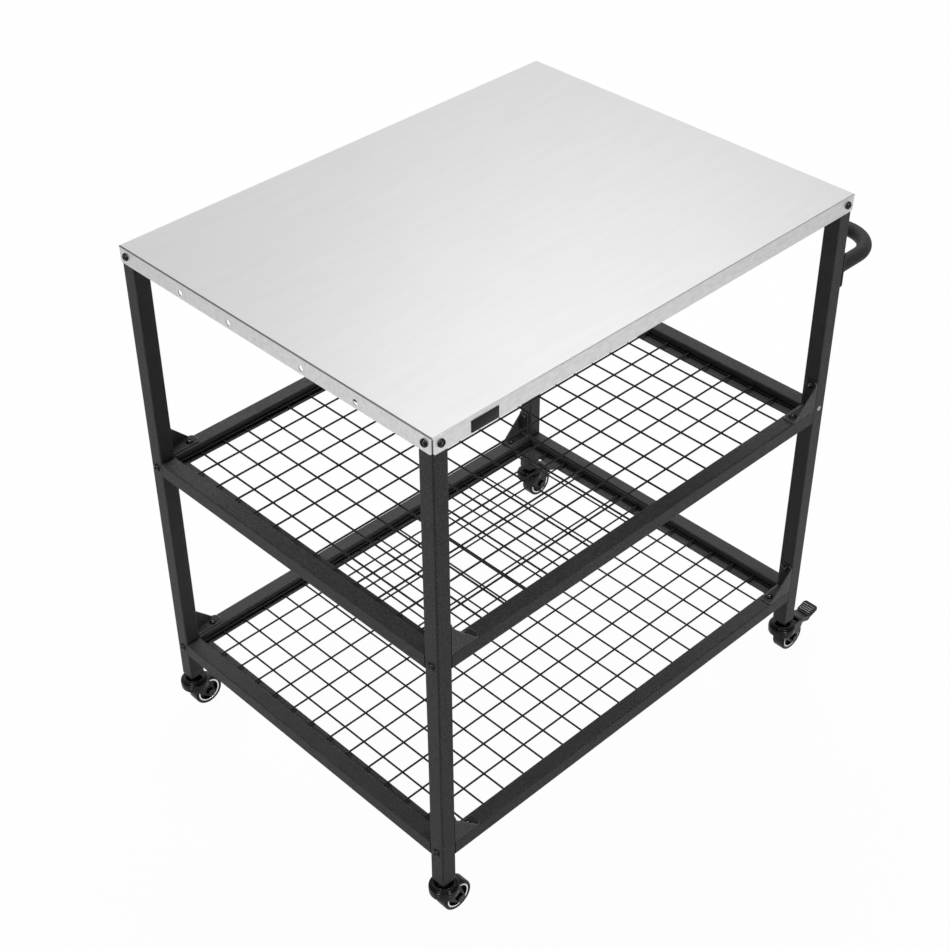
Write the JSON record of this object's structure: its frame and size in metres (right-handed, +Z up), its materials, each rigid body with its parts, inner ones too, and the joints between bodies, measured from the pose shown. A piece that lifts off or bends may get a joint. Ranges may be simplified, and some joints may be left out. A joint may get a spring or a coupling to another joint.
{
  "type": "grill cart",
  "caption": "Rolling outdoor grill cart: flat folded-sheet tabletop on a square-tube frame with wire shelves, a tubular push handle at one end and swivel casters, some with brakes.",
  "frame": {"origin": "on the floor, below the middle of the whole cart with its handle and casters", "axes": "+Z up, +X along the tabletop towards the push handle, -Y towards the front long side"},
  "size_m": [0.92, 0.626, 0.86],
  "materials": {
    "sheet_steel": "satin sheet",
    "frame_black": "satin powder coat",
    "wire_black": "satin powder coat",
    "screw_black": "black oxide",
    "plug_plastic": "moulded",
    "caster_zinc": "zinc plated",
    "caster_black": "gloss black",
    "tyre_rubber": "matt",
    "hub_plastic": "moulded",
    "pedal_plastic": "moulded"
  },
  "bodies": {
    "cart": {"tabletop": "sheet_steel", "leg_front_left": "frame_black", "leg_front_right": "frame_black", "leg_back_left": "frame_black", "leg_back_right": "frame_black", "mid_rail_front": "frame_black", "mid_rail_back": "frame_black", "mid_rail_left": "frame_black", "mid_rail_right": "frame_black", "mid_mesh": "wire_black", "mid_bracket_front_left": "frame_black", "mid_bracket_front_right": "frame_black", "mid_bracket_back_left": "frame_black", "mid_bracket_back_right": "frame_black", "low_rail_front": "frame_black", "low_rail_back": "frame_black", "low_rail_left": "frame_black", "low_rail_right": "frame_black", "low_mesh": "wire_black", "low_bracket_front_left": "frame_black", "low_bracket_front_right": "frame_black", "low_bracket_back_left": "frame_black", "low_bracket_back_right": "frame_black", "handle": "frame_black", "top_screws": "screw_black", "rail_bolts": "screw_black", "bracket_screws": "screw_black", "handle_screws": "screw_black", "caster_front_left_insert": "plug_plastic", "caster_front_left_stem": "caster_zinc", "caster_front_left_race": "caster_black", "caster_front_right_insert": "plug_plastic", "caster_front_right_stem": "caster_zinc", "caster_front_right_race": "caster_black", "caster_back_left_insert": "plug_plastic", "caster_back_left_stem": "caster_zinc", "caster_back_left_race": "caster_black", "caster_back_right_insert": "plug_plastic", "caster_back_right_stem": "caster_zinc", "caster_back_right_race": "caster_black"},
    "fork_front_left": {"caster_front_left_fork": "caster_black", "caster_front_left_axle": "screw_black"},
    "wheel_front_left": {"caster_front_left_tyre": "tyre_rubber", "caster_front_left_hub": "hub_plastic"},
    "fork_front_right": {"caster_front_right_fork": "caster_black", "caster_front_right_axle": "screw_black"},
    "wheel_front_right": {"caster_front_right_tyre": "tyre_rubber", "caster_front_right_hub": "hub_plastic"},
    "pedal_front_right": {"caster_front_right_pedal": "pedal_plastic"},
    "fork_back_left": {"caster_back_left_fork": "caster_black", "caster_back_left_axle": "screw_black"},
    "wheel_back_left": {"caster_back_left_tyre": "tyre_rubber", "caster_back_left_hub": "hub_plastic"},
    "fork_back_right": {"caster_back_right_fork": "caster_black", "caster_back_right_axle": "screw_black"},
    "wheel_back_right": {"caster_back_right_tyre": "tyre_rubber", "caster_back_right_hub": "hub_plastic"},
    "pedal_back_right": {"caster_back_right_pedal": "pedal_plastic"}
  },
  "joints": [
    {"name": "swivel_front_left", "type": "hinge", "parent": "cart", "child": "fork_front_left", "pos_m": [-0.438, -0.291, 0.0575], "axis": [0, 0, 1], "continuous": true},
    {"name": "wheel_spin_front_left", "type": "hinge", "parent": "fork_front_left", "child": "wheel_front_left", "pos_m": [-0.42, -0.291, 0.025], "axis": [0, 1, 0], "continuous": true},
    {"name": "swivel_front_right", "type": "hinge", "parent": "cart", "child": "fork_front_right", "pos_m": [0.334, -0.291, 0.0575], "axis": [0, 0, 1], "continuous": true},
    {"name": "wheel_spin_front_right", "type": "hinge", "parent": "fork_front_right", "child": "wheel_front_right", "pos_m": [0.352, -0.291, 0.025], "axis": [0, 1, 0], "continuous": true},
    {"name": "brake_front_right", "type": "hinge", "parent": "fork_front_right", "child": "pedal_front_right", "pos_m": [0.36795, -0.291, 0.05053], "axis": [0, 1, 0], "range_deg": [0, 20]},
    {"name": "swivel_back_left", "type": "hinge", "parent": "cart", "child": "fork_back_left", "pos_m": [-0.438, 0.291, 0.0575], "axis": [0, 0, 1], "continuous": true},
    {"name": "wheel_spin_back_left", "type": "hinge", "parent": "fork_back_left", "child": "wheel_back_left", "pos_m": [-0.42, 0.291, 0.025], "axis": [0, 1, 0], "continuous": true},
    {"name": "swivel_back_right", "type": "hinge", "parent": "cart", "child": "fork_back_right", "pos_m": [0.334, 0.291, 0.0575], "axis": [0, 0, 1], "continuous": true},
    {"name": "wheel_spin_back_right", "type": "hinge", "parent": "fork_back_right", "child": "wheel_back_right", "pos_m": [0.352, 0.291, 0.025], "axis": [0, 1, 0], "continuous": true},
    {"name": "brake_back_right", "type": "hinge", "parent": "fork_back_right", "child": "pedal_back_right", "pos_m": [0.36795, 0.291, 0.05053], "axis": [0, 1, 0], "range_deg": [0, 20]}
  ]
}
